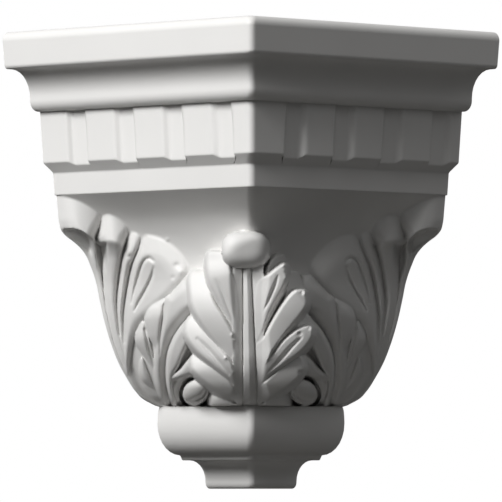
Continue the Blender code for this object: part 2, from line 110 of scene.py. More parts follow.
UNIT = BAND_HEIGHT / 100    # the carving is drawn in hundredths of the band's height
END_MARGIN = 4.5            # the carving blends into the outline of the square cut over this width
END_WEDGE = 0.35            # how steeply a hollow may run in from the square cut
LEAF_SET_OVER = 1.2         # the corner leaf stands this much towards leg B
FLANK_CURVE = 2.0           # a lobe's flank steepens this fast outwards
DEEPEST = -9.0              # no hollow runs further in from the bell
PROUD = 0.5                 # where the carving stands this proud of the bell, it hides the rounded arris
NOTHING = -30.0             # the height of a lobe where there is none

# Side view of the carved band: height in hundredths, and projection
END_OUTLINE = [(0, 41.0), (3, 47.5), (7, 52.0), (13, 56.5), (20, 60.9), (30, 65.4), (40, 68.8), (50, 71.4),
               (60, 73.8), (67, 76.6), (72, 79.2), (75, 81.8), (78, 85.6), (80.5, 89.6), (83, 92.2),
               (87, 93.6), (93, 94.3), (100, 95.0)]
BELL = [(0, 37.5), (3, 43.5), (7, 48.0), (13, 52.8), (20, 57.2), (30, 61.8), (40, 65.2), (50, 67.4),
        (60, 68.8), (67, 70.0), (74, 72.5), (82, 77.0), (89, 82.5), (95, 89.5), (100, 96.0)]

# Lobes: an outline of (across, up) and a ridge line of (across, up, height off the bell in mm). The
# corner leaf's are measured off the leaf's own face. Its left lobes are broad. Each also has its tilt
# in mm a hundredth, the height it is measured from, its bow, then where its tip bends back and how steeply
BROAD_LOBES = [
    ([(11.4, 68.4), (13.0, 69.8), (16, 70.2), (18.4, 69.6), (19.4, 65), (19.4, 61), (18.6, 56),
      (15.9, 50.6), (11.6, 42.6), (7.4, 33.4), (5.4, 29.5), (4.6, 35), (5.0, 44), (6.2, 53), (7.8, 60),
      (9.8, 66)],
     [(5.6, 31, 0.6), (6.8, 42, 1.6), (8.6, 50, 2.2), (10.8, 57, 2.6), (14.0, 66, 2.8), (15.0, 72, 2.8)],
     0.0, 60, 0.004, 61.0, 0.64),
    ([(18.8, 62.2), (23, 62.6), (27.2, 62.4), (28.8, 58.6), (28.2, 51), (27.2, 45.6), (23.7, 38.6),
      (17.7, 30.4), (11, 22.4), (6.8, 15.6), (5, 20), (5.6, 29.4), (11, 39.6), (16.2, 48.2), (18.6, 57)],
     [(6, 20, 0.6), (8.2, 29.4, 1.4), (13.4, 38.4, 2.2), (18.6, 46.8, 2.8), (22.6, 56, 3.0),
      (23.6, 65, 3.0)],
     0.08, 34, 0.026, 48.0, 0.66),
    ([(26.2, 42), (29.6, 39.5), (30.6, 35.5), (30.2, 32.0), (28.2, 28.4), (23.7, 23.2), (16.5, 17.2),
      (10, 11.4), (6.4, 7.4), (5.2, 12), (9.4, 21.2), (15.4, 28), (20.6, 34.4)],
     [(6.6, 10.6, 0.6), (10.8, 18.8, 1.6), (16.8, 26, 2.4), (22, 31.6, 3.0), (26.4, 36.2, 3.0),
      (28.4, 39, 3.0)],
     0.20, 22, 0.034, 34.6, 0.80),
    ([(24.8, 24.5), (27.4, 21.6), (27.6, 18), (26.6, 15.4), (23, 11.6), (16.3, 6.2), (10, 1.0),
      (5.6, -1.4), (4.6, 0), (5.0, 5), (10.2, 12.2), (16.2, 17.6), (20.8, 20.8)],
     [(5.4, 1.6, 0.6), (11.2, 9.6, 1.8), (17, 15.2, 2.6), (22, 18.8, 3.0), (25.4, 21, 3.0)],
     0.40, 7, 0.012, 18.4, 1.1),
]
BENT_TIP_HEIGHT = 3.2       # a bent tip starts this high, and falls outwards at this slope
BENT_TIP_SLANT = 0.16
BEND_SOFTNESS = 3.0
# Its right lobes are fingers, each with its tilt, level and bow, that stand over their own turned back tips
FINGERS = [
    ([(5.3, 57.0), (9.5, 60.6), (13.1, 63.6), (16.1, 65.4), (17.8, 64.0), (18, 60.5), (16.8, 55.7),
      (14.4, 50.8), (10.1, 42.4), (7, 35), (3.8, 29.5), (3, 35), (3.4, 44), (3.8, 52)],
     [(4, 31, 0.6), (5.2, 42, 1.6), (7, 51, 2.6), (10.4, 57.6, 3.0), (14, 61.6, 2.4), (16.4, 64, 0.8)],
     0.0, 60, 0.0),
    ([(7.1, 30.4), (10.1, 36.8), (14.4, 44.2), (18.6, 50.2), (21.6, 52.8), (25.8, 52.7), (27.1, 49.7),
      (27.1, 46), (24.6, 41.8), (19.8, 35.8), (15.6, 30.4), (11.3, 24.3), (5.2, 15.6), (3.4, 20),
      (4.2, 27)],
     [(4.4, 20, 0.6), (7.8, 28.6, 1.6), (12.8, 36.6, 2.8), (17.6, 43.6, 3.4), (22, 49, 3.0),
      (24.4, 51.4, 1.6)],
     0.03, 42, -0.014),
    ([(10.8, 22.9), (15.4, 28.8), (20, 33), (24.6, 35.8), (28.8, 36.4), (30, 34), (29.4, 30.4),
      (24.6, 24.4), (16.1, 17.7), (10.8, 14.1), (4.8, 7.4), (3.6, 12), (7, 19)],
     [(5, 10.6, 0.6), (10, 18.6, 1.8), (15.6, 25.4, 3.0), (20.8, 30.8, 3.4), (26.4, 35.0, 2.8)],
     0.06, 26, 0.008),
    ([(5.3, 8.1), (11.3, 14.1), (18.6, 19.5), (24, 22.5), (25.8, 19.5), (25.8, 15.9), (22.2, 11.1),
      (16.1, 6.2), (10.1, 2.7), (5.3, -1.0), (3, 0), (3.4, 5)],
     [(3.8, 1.6, 0.6), (9.4, 8.6, 2.0), (15.4, 13.8, 3.0), (20.4, 17.6, 3.2), (23.8, 20, 2.6)],
     0.40, 10, 0.0),
]
# Where those tips start to turn back, across and up, how far below the face, and how steeply outwards and
# upwards. A tip turns over its last stretch, and stands below the face by a share of its drop before that
TURNED_TIPS = [(9.0, 62, 2.0, 1.3, 0.35), (16.5, 52, 2.0, 1.3, 0.35), (23.0, 36, 2.2, 1.3, 0.45)]
TURN_STRETCH = 12
TURN_FIRST_DROP = 0.4
# The leaf beside it, and the folded bands between that leaf and the berry
SIDE_LOBES = [
    ([(25, 60), (28.6, 60.6), (32, 57), (37, 52), (39.8, 50), (41.4, 44), (43.4, 36), (45.4, 26),
      (46.4, 18), (45.6, 8), (42, -2), (38, -2), (38.5, 6), (39, 13), (38.5, 20), (36.5, 27), (33, 34),
      (29, 40), (26, 46), (24, 55)],
     [(43, 0, 1.2), (44.6, 10, 2.0), (44.6, 22, 2.8), (41.6, 36, 4.6), (37.4, 46, 6.2), (32.6, 54, 7.2),
      (28.6, 60, 6.0), (27, 64, 4.6)]),
    ([(39.4, 50), (43.4, 49.6), (47.4, 47.6), (49.6, 43.6), (50.2, 40), (48.6, 33), (46.4, 29), (43.8, 23),
      (42.4, 28), (41.8, 36), (40.6, 43)],
     [(43.6, 25, 2.2), (45.4, 34, 3.8), (45.8, 42, 4.8), (45, 47.5, 4.0)]),
    ([(51.2, 40), (53.4, 37.8), (55.2, 33.6), (55.0, 30), (52.6, 25.8), (49.2, 21.2), (45.8, 15.2),
      (46.4, 21), (48, 28), (49.6, 35)],
     [(46.4, 17, 1.6), (49.6, 24, 2.6), (52.2, 31, 3.6), (52.2, 37, 3.2)]),
    ([(52.2, 22.6), (53.4, 19.6), (53.6, 15.6), (52.4, 12), (49.4, 9.4), (45.6, 7.0), (48, 12), (50, 17)],
     [(46.5, 8, 1.4), (50, 13, 2.4), (52, 18, 2.6)]),
]
FOLDED_LOBES = [
    ([(25.4, 42.2), (31, 38.4), (35.2, 33), (38.2, 27), (39.6, 21), (40, 13), (39.2, 6), (36.8, -2),
      (35, -2), (37.2, 6), (37.6, 12), (36, 15.4), (34, 19), (32, 24), (29.2, 29.2), (27, 33)],
     [(36.4, -1, 1.8), (38.4, 7, 2.6), (38.6, 14, 3.4), (36.4, 21, 4.4), (33.4, 28, 5.4), (30, 34, 6.4),
      (27.6, 39, 6.6)]),
    ([(25, 24.6), (29.6, 20.6), (33, 17.0), (36.4, 14.6), (38.4, 12.6), (35, 12.2), (31, 13.4), (27, 14.8),
      (24.6, 19)],
     [(37.5, 12.8, 3.4), (33, 14.8, 4.0), (29, 17.4, 4.8), (26, 20, 5.4)]),
]
# The half palmette at the square cut is measured back from the end of the fillet. Each lobe is an outline
# and the line where its tip runs out of the bell
END_LOBES = [
    ([(-5.6, 103), (2.4, 103), (9.4, 102), (16.4, 99), (22.4, 95), (24.4, 91), (22, 86), (18.8, 79.4),
      (20.4, 70), (21.9, 60), (23.9, 46), (27.9, 28), (34.4, 12), (28.4, 12), (22.4, 30), (17.4, 50),
      (12.4, 70), (2.4, 84), (-5.6, 84)],
     [(0, 99.6), (4, 99.2), (10, 97.6), (16, 94.8), (21, 91.6), (24, 89.4), (30, 86)]),
    ([(22.6, 91.4), (24.6, 94), (29.4, 94), (34.4, 91), (37.6, 86.4), (37.2, 82.4), (34.4, 79), (33.2, 76),
      (32.2, 72), (31.2, 66), (29.8, 58), (29.4, 48), (31.4, 34), (34.4, 20), (31.4, 22), (26.4, 38),
      (23.9, 52), (23.2, 64), (22.4, 76), (20, 79.6), (21.6, 86)],
     [(20, 90), (24, 90.6), (28, 90), (32, 87.6), (35, 84.6), (37, 82)]),
    ([(33.8, 77), (34.8, 82.2), (37, 84.8), (41, 84.4), (43.6, 80.6), (41.8, 75.6), (38.8, 70.8),
      (36.6, 66), (34.6, 56), (33, 46), (32.8, 34), (33.8, 22), (31.9, 24), (29.6, 40), (29.4, 50),
      (30.8, 62), (32.4, 70)],
     [(33, 82), (37, 82), (40, 81.4), (43, 79)]),
    ([(41.8, 80), (43, 83), (48, 83), (53.8, 81), (58.8, 78), (63.8, 73), (67, 67), (66, 62),
      (61.4, 57.4), (56.6, 52.4), (51.6, 47.6), (45.8, 43.2), (39.8, 37.4), (35.9, 26), (34.4, 15),
      (32.4, 22), (32.6, 40), (34.2, 52), (36.8, 66), (40.4, 75)],
     [(40, 80.6), (44, 80.6), (48, 80), (52, 78.6), (56, 76), (60, 72.4), (63, 68.6), (66, 63)]),
]
END_TAPER = 0.34            # the palmette's plate thins by this share over this stretch from the square cut
END_TAPER_STRETCH = (5, 62)
END_CROWN = 0.5             # its lobes stand this proud of the plate
END_FACE_SOFTNESS = 1.6
# The hollows under its curled tips: the lip's line, the depth in mm, how far below the lip they run out,
# and the stretches over which they start and end, back from the end of the fillet
HOLLOWS = [
    ([(2, 83.5), (6, 84.2), (10, 83.8), (14.5, 82), (18.2, 79), (20, 77.5)], 8.0, 13, (2.2, 6),
     (15.5, 19)),
    ([(19, 77.5), (26, 77.5)], 4.5, 16, (19.5, 21), (24.2, 25.6)),
]
HOLLOW_LIP = (-0.2, 1.0)    # they drop off over this stretch below the lip
HOLLOW_FULL = 1.5           # and are deepest to here

HUSK = ([(19.2, 6.8), (19.4, 3), (19.0, -0.6), (17.4, -1.8), (12, -2), (7, -2), (6, -0.8), (11, 5),
         (15, 8)],
        [(7, -1, 7.5), (11, 0.5, 7.5), (15.0, 2.0, 7.0), (18.4, 3.6, 5.5)])
HUSK_TILT = 1.1             # it leans back upwards from this level
HUSK_LEVEL = 2.0
BERRY = (26.0, 5.9, 6.7, 5.9)               # middle, half length and half width
BERRY_TURN = 0.6                            # its long way leans over by this, in radians
BERRY_FOOT = 0.6                            # height of its rim off the bell, and its own height in mm
BERRY_HEIGHT = 5.4
BERRY_SEAM = [(20.8, 7.0, .6, .8), (22.0, 4.6, .7, 2.0), (24.0, 3.0, .7, 2.2), (26.6, 2.2, .7, 2.0),
              (29.6, 2.0, .6, .8)]
# The berry lies in a shallow dip, with a narrow socket round its outer side. Their reaches are given in the
# berry's own half sizes
DIP_DEPTH = 2.4
DIP_REACH = (1.3, 1.8)
DIP_START = (14, 19)        # where the dip starts, across
SOCKET_REACH = 1.24
SOCKET_FLOOR = -8.0
SOCKET_TOP = 15             # it stops at this level, and at this place across
SOCKET_START = 17

# Cuts: (across, up, half width, depth in mm)
BROAD_CUTS = [
    [(15.6, 58, .7, .2), (13.0, 53, .9, .7), (10.2, 46, .9, .8), (7.6, 39, .7, .3)],
    [(24.6, 30.6, .8, .6), (19.8, 25.8, 1.0, 1.4), (14.8, 20.2, .9, 1.4), (9.4, 14, .6, .5)],
]
FINGER_CUTS = [
    [(13.6, 59.4, .6, .4), (12.0, 54.6, .7, 1.3), (9.0, 47.6, .7, 1.3), (5.8, 41, .5, .4)],
    [(24.8, 31.2, .6, .4), (20.0, 26.6, .8, 1.4), (14.6, 20.4, .8, 1.3), (9.4, 15, .5, .4)],
]
SIDE_CUTS = [
    [(43.4, 24, .5, .4), (42.6, 34, .8, 1.2), (40.8, 46, .8, 1.1), (40.2, 49, .5, .4)],
    [(46.4, 18, .5, .4), (48.6, 26, .8, .9), (50.6, 36, .7, .7)],
]
END_CUTS = [
    [(33.4, 30, .6, .5), (32.8, 44, .8, 1.2), (35.8, 62, 1.0, 1.6), (40, 73.5, .9, 1.0),
     (42.2, 79, .6, .3)],
    [(30.9, 34, .6, .5), (29.6, 50, .9, 1.5), (31.6, 66, 1.1, 1.9), (33.8, 76, .9, 1.2)],
    [(37, 48.6, .5, .5), (38.8, 56, .8, 1.3), (41.2, 64, .8, 1.4), (43, 68, .8, 1.3), (45.6, 69.6, .8, 1.1),
     (47.8, 68.2, .7, .8)],
    [(38.4, 45, .5, .5), (40.8, 49.6, .8, 1.2), (44, 55, .8, 1.4), (46.8, 60.4, .8, 1.2), (48, 65, .6, .5)],
]
# A valley runs down between the side leaf and the folded bands, and a notch opens between the two bands
VALLEY = [(26.6, 46, 1.6, 1.6), (29.6, 41.6, 2.8, 3.4), (34.6, 34.4, 3.4, 4.0), (38.4, 27.0, 3.4, 4.2),
          (40.8, 20, 2.6, 3.6), (41.2, 13, 2.2, 3.4), (40.2, 6, 1.8, 3.2), (38.4, -2, 1.6, 2.6)]
NOTCH = [(28.6, 30), (31.5, 25), (34.4, 18.5), (37, 14.6), (31, 17), (25.6, 23.8)]
NOTCH_DEPTH = 1.7
NOTCH_EDGE = 2.0            # its sides slope over this much to both sides of its outline

# The corner leaf is drawn by its depth towards the front, in mm off the bell's edge on the mitre. Its left
# half, on leg B, and its right half each have their own sizes
LEAF_LIFT = [(-5, 2.8), (0, 2.8), (4, 4.4), (8, 6.0), (14, 7.0), (20, 6.4), (27, 5.0), (35, 4.2),
             (45, 4.2), (60, 5.0), (70, 5.8)]
LEAF_BACK_LEFT = [(0, 0.42), (20, 0.42), (45, 0.30), (70, 0.22)]    # how fast it turns back, mm a hundredth
LEAF_BACK_RIGHT = [(0, 0.11), (20, 0.10), (45, 0.03), (70, 0.02)]
WEB_LEFT = 6.6              # the web between the lobes and the rib reaches this far from the middle
WEB_RIGHT = 6.2
WEB_DIP_LEFT = 1.3          # depth of the web beside the rib
WEB_DIP_RIGHT = 1.7
WEB_STEP = 0.2              # the lobes start this far above the web, and rise from it at these slopes
LOBE_RISE_LEFT = 0.75
LOBE_RISE_RIGHT = 0.9
RIB_LEFT = -2.5             # the rib's edges, across: the right one runs in towards its tip
RIB_RIGHT = 1.0
RIB_SPREAD = 3.0
RIB_TOP = 66
RIB_RIDGE = -0.6            # its height, and how far its sides fall from there
RIB_FALL_LEFT = 1.5
RIB_FALL_RIGHT = 0.8
RIB_ROLL = 0.5              # its edges roll over by this
GROOVE_DEPTH = 1.4          # a fine groove runs along both of its edges, up to this level
GROOVE_REACH = 0.25
GROOVE_OFFSET = 0.2
GROOVE_TOP = 62
# Its rolled tip: the middle, from the mitre in mm and up in hundredths, and its half width and half height
TIP_MIDDLE = (-1.9, 72.1)
TIP_HALF_SIZE = (9.4, 8.6)
TIP_SQUARENESS = 2.6        # 2 is an ellipse, and more is squarer
TIP_BACK = 104.5            # in front of the walls' corner
TIP_THICKNESS = 7.5
TIP_RIDGE = (-2.3, 75.5)    # a place on the slanting ridge between its two faces
TIP_ACROSS_RIDGE = (0.485, -0.874)          # the way across the ridge, rightwards and upwards
TIP_LOWER_FACE = 0.38       # how steeply its lower face leans back
TIP_RIDGE_SOFTNESS = 1.4
# Beads and pits that the mould left: distance from the mitre in mm, height in hundredths, reach and rise
FLAWS = [(12.5, 64.6, 0.7, 0.5), (13.6, 61.6, 0.6, -0.6), (13.8, 58.8, 0.7, 0.5), (17.6, 53.0, 0.6, 0.5),
         (19.8, 52.2, 0.7, -0.8), (22.6, 35.6, 0.7, -0.6), (18.9, 32.7, 0.8, -0.8),
         (19.3, 14.9, 0.8, -0.9), (-7.3, 32.2, 0.6, 0.5), (-6.5, 29.9, 0.6, 0.4), (-10.0, 21.4, 0.6, 0.5),
         (-6.9, 14.9, 0.6, 0.4), (-6.2, 4.5, 0.7, 0.5), (-32.7, 78.2, 0.7, 0.5), (-47.7, 70.7, 0.9, -0.7),
         (-29.0, 66.0, 1.0, -0.5), (-27.6, 62.6, 0.9, 0.4), (-30.4, 60.2, 0.8, -0.4)]


def ease(value, low, high):
    """Rises smoothly from 0 at low to 1 at high."""
    share = np.clip((value - low) / (high - low), 0, 1)
    return share * share * (3 - 2 * share)


def soft_max(a, b, blend=0.3):
    """The higher of two surfaces, with the crease between them rounded."""
    share = np.clip(0.5 + 0.5 * (a - b) / blend, 0, 1)
    return b + (a - b) * share + blend * share * (1 - share)


def soft_min(a, b, blend):
    """The lower of two surfaces, with the crease between them rounded."""
    return -soft_max(-a, -b, blend)


def read_rows(value, rows):
    """Reads a smooth curve through rows of position and height."""
    x, y = np.array(rows, float).T
    slope = np.gradient(y, x)
    value = np.clip(value, x[0], x[-1])
    i = np.clip(np.searchsorted(x, value, side="right") - 1, 0, len(x) - 2)
    step = x[i + 1] - x[i]
    t = (value - x[i]) / step
    return ((1 + 2 * t) * (1 - t) ** 2 * y[i] + t * (1 - t) ** 2 * step * slope[i]
            + t * t * (3 - 2 * t) * y[i + 1] + t * t * (t - 1) * step * slope[i + 1])


def smooth_line(points, samples, closed=False):
    """A smooth line through a few points. Its further columns run smoothly too."""
    ends = (points[-1:], [points[0], points[1]]) if closed else (points[:1], points[-1:])
    p = np.array([*ends[0], *points, *ends[1]], float)
    line = []
    for a, b, c, d in zip(p, p[1:], p[2:], p[3:]):
        for t in np.linspace(0, 1, samples, endpoint=False):
            line.append(0.5 * (2 * b + (c - a) * t + (2 * a - 5 * b + 4 * c - d) * t ** 2
                               + (3 * b - a - 3 * c + d) * t ** 3))
    line.append(line[0] if closed else p[-1])
    return np.array(line)


def from_stretch(u, v, a, b):
    """Distance from each place to the straight stretch from a to b, and how far along it that is."""
    run = b[:2] - a[:2]
    t = np.clip(((u - a[0]) * run[0] + (v - a[1]) * run[1]) / max(float(run @ run), SHORTEST), 0, 1)
    return np.hypot(u - a[0] - t * run[0], v - a[1] - t * run[1]), t


def measure(u, v, points, samples=6):
    """Distance from each place to a smooth line, and the line's further columns there."""
    line = smooth_line(points, samples)
    best = np.full(u.shape, np.inf)
    columns = [np.zeros(u.shape) for _ in points[0][2:]]
    for a, b in zip(line[:-1], line[1:]):
        distance, t = from_stretch(u, v, a, b)
        near = distance < best
        best = np.where(near, distance, best)
        for k, column in enumerate(columns):
            columns[k] = np.where(near, a[2 + k] + t * (b[2 + k] - a[2 + k]), column)
    return best, columns


def depth_inside(u, v, outline, samples=5):
    """How far each place lies inside a smooth closed outline, and negative outside it."""
    line = smooth_line(outline, samples, closed=True)
    best = np.full(u.shape, np.inf)
    inside = np.zeros(u.shape, bool)
    for a, b in zip(line[:-1], line[1:]):
        best = np.minimum(best, from_stretch(u, v, a, b)[0])
        if a[1] != b[1]:
            crosses = (a[1] > v) != (b[1] > v)
            inside ^= crosses & (u < a[0] + (v - a[1]) / (b[1] - a[1]) * (b[0] - a[0]))
    return np.where(inside, best, -best)


def near_shape(u, v, shape, margin=4.0):
    """The part of the net that a shape can reach, so that the rest is left alone."""
    points = np.array([row[:2] for row in shape], float)
    low, high = points.min(axis=0) - margin, points.max(axis=0) + margin
    return (u > low[0]) & (u < high[0]) & (v > low[1]) & (v < high[1])


def domed(crown, inside, rim, edge, fall):
    """A lobe's section: it drops by rim over the width of its edge, then falls as a steep flank."""
    share = np.clip(inside / edge, 0, 1)
    face = crown - rim * (1 - share) ** 2
    flank = crown - rim + fall * inside - FLANK_CURVE * inside ** 2
    return np.where(inside >= 0, face, flank)


def petal(u, v, lobe, rim, edge, fall=4.0, lean=0.0):
    """A lobe as high as its ridge line. With lean its face falls away from that line on both sides."""
    outline, ridge = lobe
    height = np.full(u.shape, NOTHING)
    here = near_shape(u, v, outline)
    hu, hv = u[here], v[here]
    away, (crown,) = measure(hu, hv, ridge)
    height[here] = domed(crown - lean * away ** 2, depth_inside(hu, hv, outline), rim, edge, fall)
    return height


def leaned(lobe, v, tilt, level, bow):
    """A lobe that leans back upwards from a level, on a bow."""
    return lobe - tilt * (v - level) - bow / 2 * (v - level) ** 2


def cut(u, v, spine):
    """The depth of a rounded cut along a line."""
    depth = np.zeros(u.shape)
    here = near_shape(u, v, spine, margin=6.0)
    distance, (width, deep) = measure(u[here], v[here], spine)
    depth[here] = deep * np.exp(-(distance / width) ** 2)
    return depth


def leaf(u, v, lobes, cuts, rim, edge, fall=4.0, blend=0.25):
    """Lobes that grow into each other, less their cuts."""
    height = np.full(u.shape, NOTHING)
    for lobe in lobes:
        height = soft_max(height, petal(u, v, lobe, rim, edge, fall), blend)
    for spine in cuts:
        height = height - cut(u, v, spine)
    return height


def corner_leaf(s, v):
    """The leaf on the corner, where s is the place across from its line, negative on leg B.

    Its halves look almost straight out, and its middle dips to a rib.
    """
    on_left = s < 0
    back = np.where(on_left, read_rows(v, LEAF_BACK_LEFT), read_rows(v, LEAF_BACK_RIGHT))
    height = np.where(on_left, broad_half(-s, v), finger_half(s, v))
    height = np.where(height > NOTHING / 2, height - back * np.abs(s), NOTHING)

    # The web dips to the rib on both sides, and the lobes rise from it
    right_edge = RIB_RIGHT + RIB_SPREAD * np.clip(1 - v / RIB_TOP, 0, 1)
    left_share = np.clip((s + WEB_LEFT) / (RIB_LEFT + WEB_LEFT), 0, 1)
    right_share = np.clip((WEB_RIGHT - s) / (WEB_RIGHT - right_edge), 0, 1)
    web = np.where(on_left, -back * WEB_LEFT - WEB_DIP_LEFT * left_share,
                   -back * WEB_RIGHT - WEB_DIP_RIGHT * right_share)
    past_web = np.clip(np.where(on_left, -s - WEB_LEFT, s - WEB_RIGHT), 0, None)
    rise = np.where(on_left, LOBE_RISE_LEFT, LOBE_RISE_RIGHT)
    height = soft_min(height, web + WEB_STEP + rise * past_web, blend=0.8)
    in_web = (v < RIB_TOP) & (past_web < 1)
    height = np.where(in_web, soft_max(height, web, blend=0.4), height)

    # The rib's two faces, and the grooves beside it
    ridge = (RIB_LEFT + right_edge) / 2
    share = np.where(s < ridge, (ridge - s) / (ridge - RIB_LEFT), (s - ridge) / (right_edge - ridge))
    fall = np.where(s < ridge, RIB_FALL_LEFT, RIB_FALL_RIGHT)
    rib = RIB_RIDGE - fall * share - RIB_ROLL * share ** 8
    height = np.where((share < 1) & (v < RIB_TOP), rib, height)
    for middle in (RIB_LEFT - GROOVE_OFFSET, right_edge + GROOVE_OFFSET):
        groove = GROOVE_DEPTH * np.exp(-((s - middle) / GROOVE_REACH) ** 2)
        height = height - np.where(in_web, groove * (1 - ease(v, GROOVE_TOP, RIB_TOP)), 0)
    return height + read_rows(v, LEAF_LIFT)


def broad_half(u, v):
    """The leaf's left half: broad lobes, whose tips bend up and back from a soft crease."""
    height = np.full(u.shape, NOTHING)
    for outline, ridge, tilt, level, bow, bend, steep in BROAD_LOBES[::-1]:
        lobe = petal(u, v, (outline, ridge), rim=1.2, edge=1.3, fall=1.5, lean=0.012)
        face = leaned(lobe, v, tilt, level, bow)
        middle = ridge[-2][0]
        tip = BENT_TIP_HEIGHT - tilt * (bend - level) - steep * (v - bend) - BENT_TIP_SLANT * (u - middle)
        bent = soft_min(face, tip, BEND_SOFTNESS)
        height = soft_max(height, np.where(lobe > NOTHING / 2, bent, NOTHING))
    for spine in BROAD_CUTS:
        height = height - cut(u, v, spine)
    return height


def finger_half(u, v):
    """The leaf's right half: fingers with steep inner flanks, over the turned back tips of the lobes."""
    height = np.full(u.shape, NOTHING)
    for lobe, (start, level, drop, outwards, upwards) in zip(BROAD_LOBES, TURNED_TIPS):
        outline, ridge = lobe[:2]
        tip = petal(u, v, (outline, [(*point[:2], 0.0) for point in ridge]), rim=1.0, edge=1.2)
        turned = ease(v, level - TURN_STRETCH, level)
        tip = tip - drop * (TURN_FIRST_DROP + (1 - TURN_FIRST_DROP) * turned)
        tip = tip - upwards * np.clip(v - level, 0, None) - turned * outwards * np.clip(u - start, 0, None)
        height = soft_max(height, tip)
    for outline, ridge, tilt, level, bow in FINGERS[::-1]:
        finger = petal(u, v, (outline, ridge), rim=1.4, edge=1.1, lean=0.011)
        face = leaned(finger, v, tilt, level, bow)
        height = soft_max(height, np.where(finger > NOTHING / 2, face, NOTHING))
    for spine in FINGER_CUTS:
        height = height - cut(u, v, spine)
    return height


def end_leaf(e, v):
    """The half palmette, whose tips stand upright off the bell and curl over hollows.

    Here e is measured back from the end of the fillet.
    """
    bell = read_rows(v, BELL)
    plate = (read_rows(v, END_OUTLINE) - bell) * (1 - END_TAPER * ease(e, *END_TAPER_STRETCH))
    height = np.full(e.shape, NOTHING)
    for outline, tip_line in END_LOBES:
        face = read_rows(read_rows(e, tip_line), BELL) - bell
        crown = soft_min(plate, face, END_FACE_SOFTNESS) + END_CROWN
        lobe = domed(crown, depth_inside(e, v, outline), rim=1.9, edge=4.4, fall=1.6)
        height = soft_max(height, lobe, blend=0.5)
    for spine in END_CUTS:
        height = height - cut(e, v, spine)
    for lip, depth, run_out, start, stop in HOLLOWS:
        under = read_rows(e, lip) - v
        share = ease(under, *HOLLOW_LIP) * (1 - ease(under, HOLLOW_FULL, run_out))
        height = height - depth * share * ease(e, *start) * (1 - ease(e, *stop))
    return height


def rolled_tip(x, v):
    """The tip of the corner leaf rolls forward into a pillow with two faces and a slanting ridge."""
    (middle_x, middle_v), (half_width, half_height) = TIP_MIDDLE, TIP_HALF_SIZE
    away = (np.abs((x - middle_x) / half_width) ** TIP_SQUARENESS
            + np.abs((v - middle_v) / half_height) ** TIP_SQUARENESS) ** (1 / TIP_SQUARENESS)
    (ridge_x, ridge_v), (over, down) = TIP_RIDGE, TIP_ACROSS_RIDGE
    below_ridge = over * (x - ridge_x) + down * UNIT * (v - ridge_v)
    front = TIP_BACK + TIP_THICKNESS * np.sqrt(np.clip(1 - away ** 4, 0, None))
    front = front - TIP_LOWER_FACE * soft_max(below_ridge, 0, TIP_RIDGE_SOFTNESS)
    return np.where(away < 1, (front + np.abs(x)) / sqrt(2), NOTHING)


def side_carving(u, v):
    """The height off the bell beside the corner leaf, where u is the place across from that leaf's line."""
    e = (WALL_LEG + FILLET_OUT - FILLET_BATTER) / sqrt(2) / UNIT - u
    height = soft_max(np.zeros(u.shape), end_leaf(e, v), blend=0.8)
    height = soft_max(height, leaf(u, v, SIDE_LOBES, SIDE_CUTS, rim=1.6, edge=3.6, fall=2.0, blend=0.5))
    height = height - cut(u, v, VALLEY)
    height = height - NOTCH_DEPTH * ease(depth_inside(u, v, NOTCH), -NOTCH_EDGE, NOTCH_EDGE)

    berry_u, berry_v, half_length, half_width = BERRY
    along = (v - berry_v) * sin(BERRY_TURN) - (u - berry_u) * cos(BERRY_TURN)
    beside = (v - berry_v) * cos(BERRY_TURN) + (u - berry_u) * sin(BERRY_TURN)
    from_berry = np.hypot(along / half_length, beside / half_width)
    height = height - DIP_DEPTH * (1 - ease(from_berry, *DIP_REACH)) * ease(u, *DIP_START)
    in_socket = (from_berry < SOCKET_REACH) & (v < SOCKET_TOP) & (u > SOCKET_START)
    height = np.where(in_socket, np.minimum(height, SOCKET_FLOOR), height)

    height = soft_max(height, leaf(u, v, FOLDED_LOBES, [], rim=1.2, edge=2.0))
    dome = np.sqrt(np.clip(1 - from_berry ** 2, 0, 1))
    berry = np.where(from_berry < 1, BERRY_FOOT + BERRY_HEIGHT * dome, NOTHING)
    husk = leaned(petal(u, v, HUSK, rim=1.6, edge=2.4, lean=0.03), v, HUSK_TILT, HUSK_LEVEL, 0)
    return np.maximum(np.maximum(height, berry - cut(u, v, BERRY_SEAM)), husk)


def carved_out(x, v):
    """Projection of the carved band where x is the distance from the mitre, seen from the front.

    The corner leaf, its tip and its flaws are laid over the rest, which then blends into the square cut.
    """
    bell = read_rows(v, BELL)
    outline = read_rows(v, END_OUTLINE)
    end = (WALL_LEG + outline) / sqrt(2)
    shift = LEAF_SET_OVER * UNIT
    across = np.where(x < -shift, (x + shift) / (1 - shift / end), (x + shift) / (1 + shift / end)) / UNIT
    leaf_height = corner_leaf(across, v)
    leaf_height = np.where(leaf_height > NOTHING / 2, (leaf_height + np.abs(x)) / sqrt(2), NOTHING)
    height = np.maximum(side_carving(np.abs(across), v), leaf_height)
    for place, level, reach, rise in FLAWS:
        height = height + rise * np.exp(-((x - place) ** 2 + (UNIT * (v - level)) ** 2) / reach ** 2)
    out = bell + np.maximum(height, DEEPEST)
    out = out + np.where(height > PROUD, 0, rounded_arris(x))
    out = np.maximum(out, rolled_tip(x, v))
    out = out + (1 - ease(end - np.abs(x), 0.0, END_MARGIN)) * (outline - out)
    return np.maximum(out, sqrt(2) * np.abs(x) - WALL_LEG + END_WEDGE * (end - np.abs(x)))


def rounded_arris(x):
    """What the rounding takes off the projection next to the mitre's edge."""
    x = np.abs(x)
    round_top = np.sqrt(np.clip(ARRIS_ROUND ** 2 - x ** 2, 0, None))
    return np.where(x < ARRIS_ROUND / sqrt(2), (round_top + x) / sqrt(2) - ARRIS_ROUND, 0)


